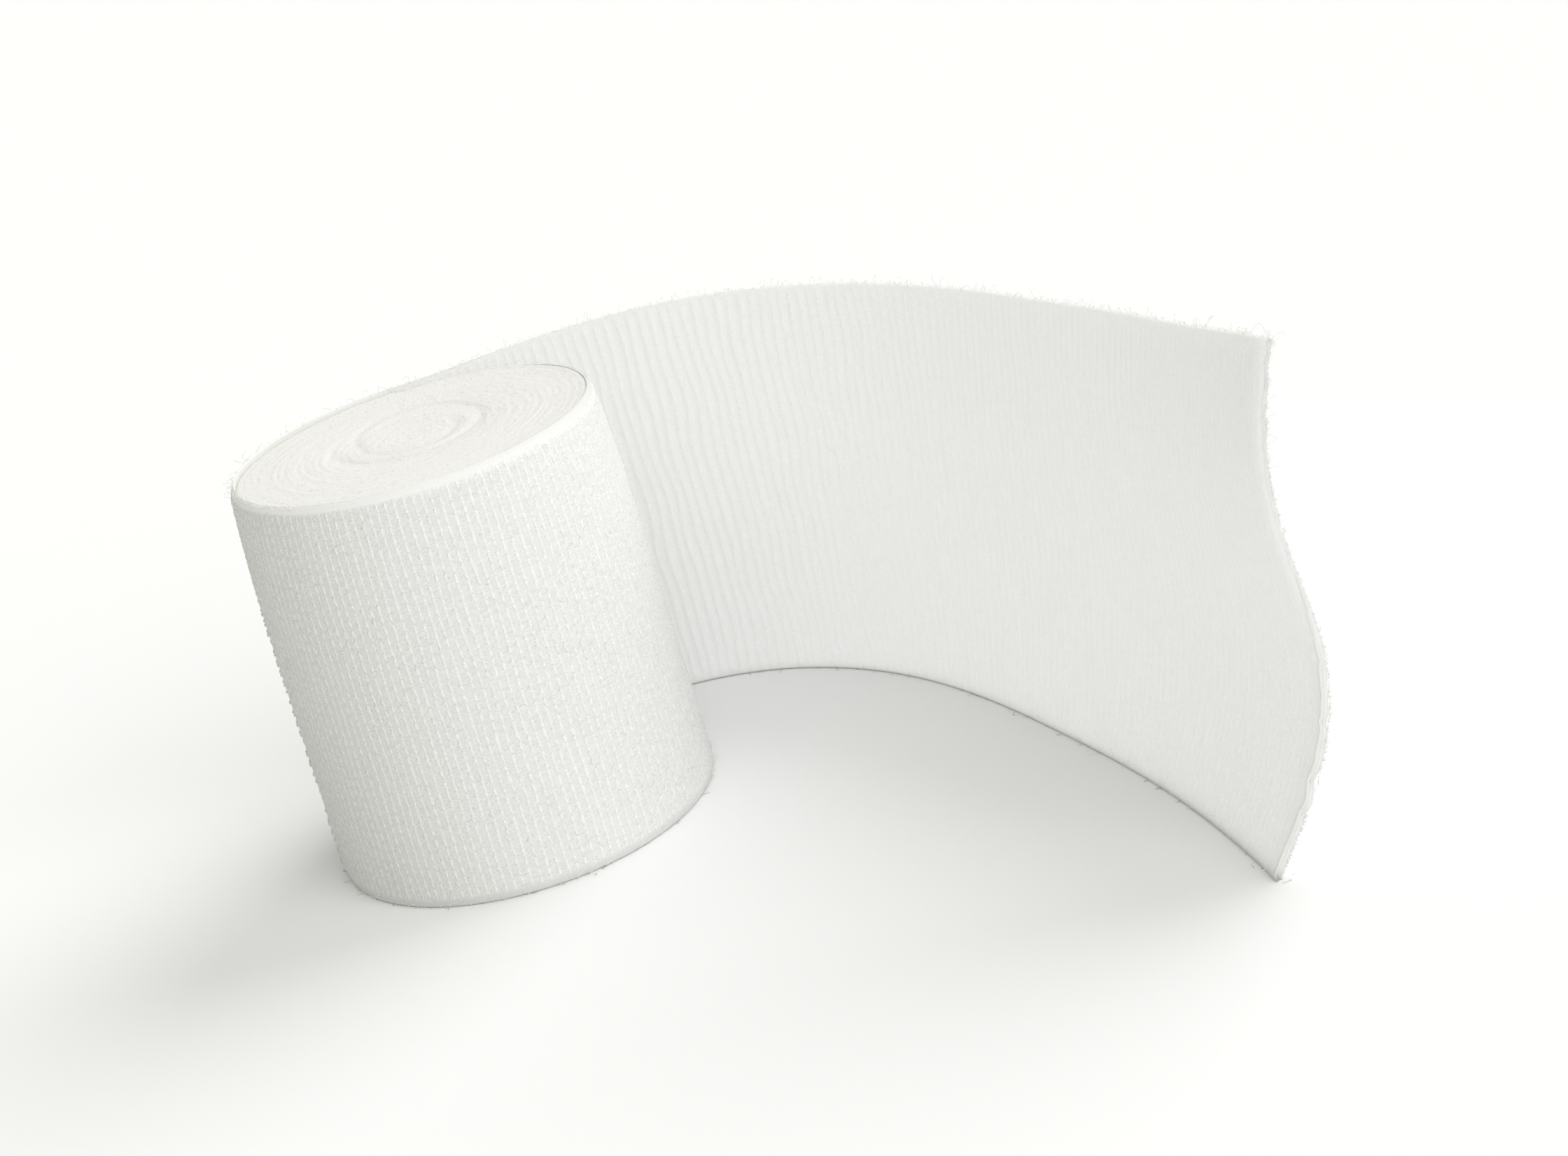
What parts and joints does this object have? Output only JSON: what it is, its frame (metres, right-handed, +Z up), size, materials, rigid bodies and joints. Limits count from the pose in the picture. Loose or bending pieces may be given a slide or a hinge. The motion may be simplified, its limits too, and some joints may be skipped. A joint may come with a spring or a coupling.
{
  "type": "bandage roll",
  "caption": "Ribbed elastic bandage wound into a cylinder that stands on its end, with a loose end led out behind it and curving round to the front",
  "frame": {"origin": "centre of the roll's lower end face, on the surface it stands on", "axes": "+Z up along the roll's axis, +X to the right and -Y towards the front, where the loose end comes round on the right"},
  "size_m": [0.1798, 0.1581, 0.0852],
  "materials": {
    "roll": "matt ribbed off-white cotton and elastic",
    "loose_end": "matt ribbed off-white cotton and elastic"
  },
  "bodies": {
    "root": {"roll": "roll", "loose_end": "loose_end"}
  },
  "joints": []
}
